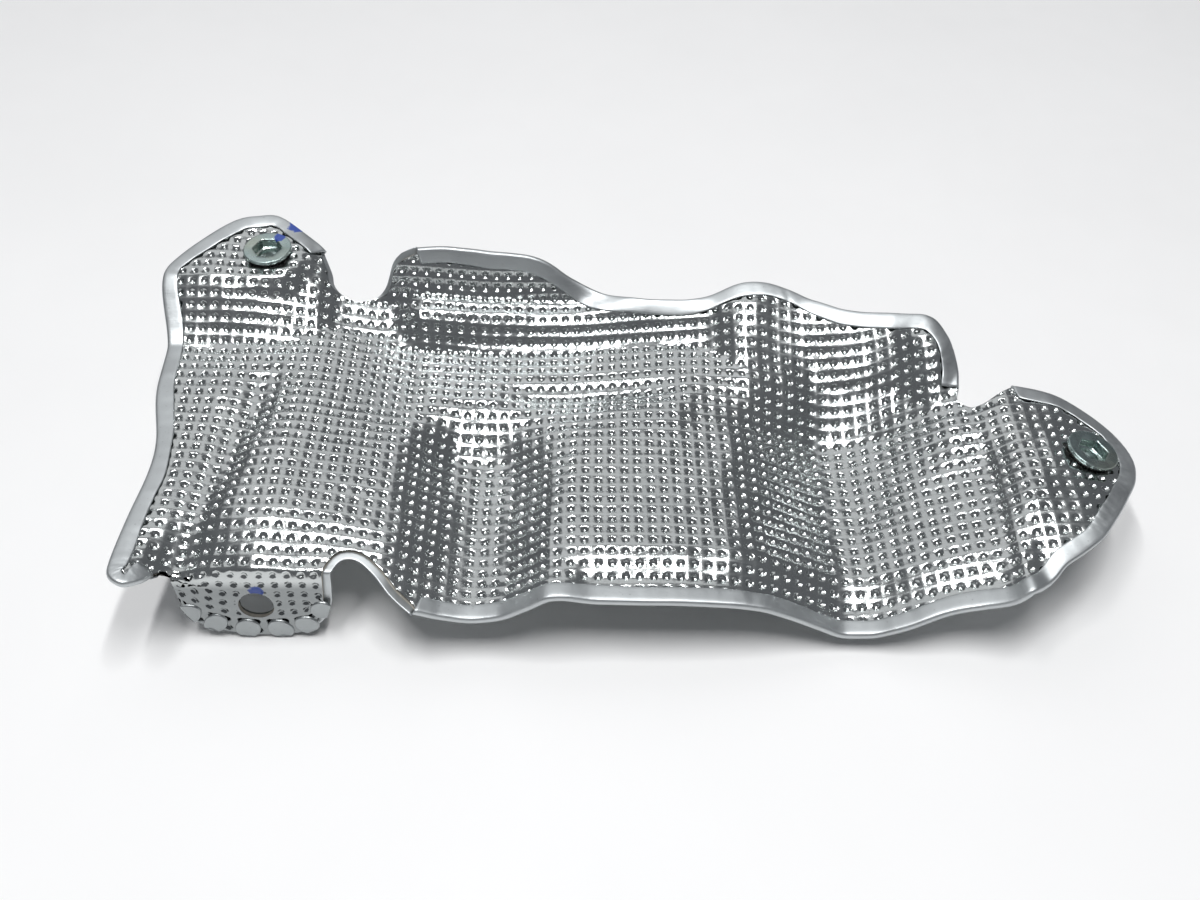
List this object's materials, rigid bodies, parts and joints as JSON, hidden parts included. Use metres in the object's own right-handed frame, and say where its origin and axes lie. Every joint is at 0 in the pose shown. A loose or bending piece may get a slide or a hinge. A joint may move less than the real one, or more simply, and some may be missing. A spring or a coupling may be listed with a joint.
{
  "type": "exhaust manifold heat shield",
  "caption": "Formed, dimpled double-skin aluminium heat shield with hemmed edges, a turned-down bolt lug and damped bolt bushes, covering a hot exhaust manifold.",
  "frame": {"origin": "centre of the bounding box in X and Y, at its lowest point in Z, which is the bottom edge of the turned-down lug", "axes": "+X along the engine and the dimple rows, from the lug's end towards the end with the single ear; +Y from the lug's edge towards the rear edge with the turned-up flange; +Z out of the hemmed face, away from the manifold"},
  "size_m": [0.3874, 0.1872, 0.0656],
  "materials": {
    "embossed_aluminium": "bright rolled, dimpled",
    "hemmed_aluminium": "satin, folded",
    "insulating_fibre": "matte fibre mat",
    "zinc_plate": "clear-passivated zinc plate, faintly blue-green",
    "knitted_steel_wire": "compressed knitted wire"
  },
  "bodies": {
    "root": {"outer_sheet": "hemmed_aluminium", "inner_sheet": "embossed_aluminium", "insulation_core": "insulating_fibre", "collar_left": "zinc_plate", "collar_right": "zinc_plate", "damping_ring_upper_left": "knitted_steel_wire", "damping_ring_upper_right": "knitted_steel_wire", "damping_ring_lower_left": "knitted_steel_wire", "damping_ring_lower_right": "knitted_steel_wire", "retaining_washer_left": "zinc_plate", "retaining_washer_right": "zinc_plate"}
  },
  "joints": []
}
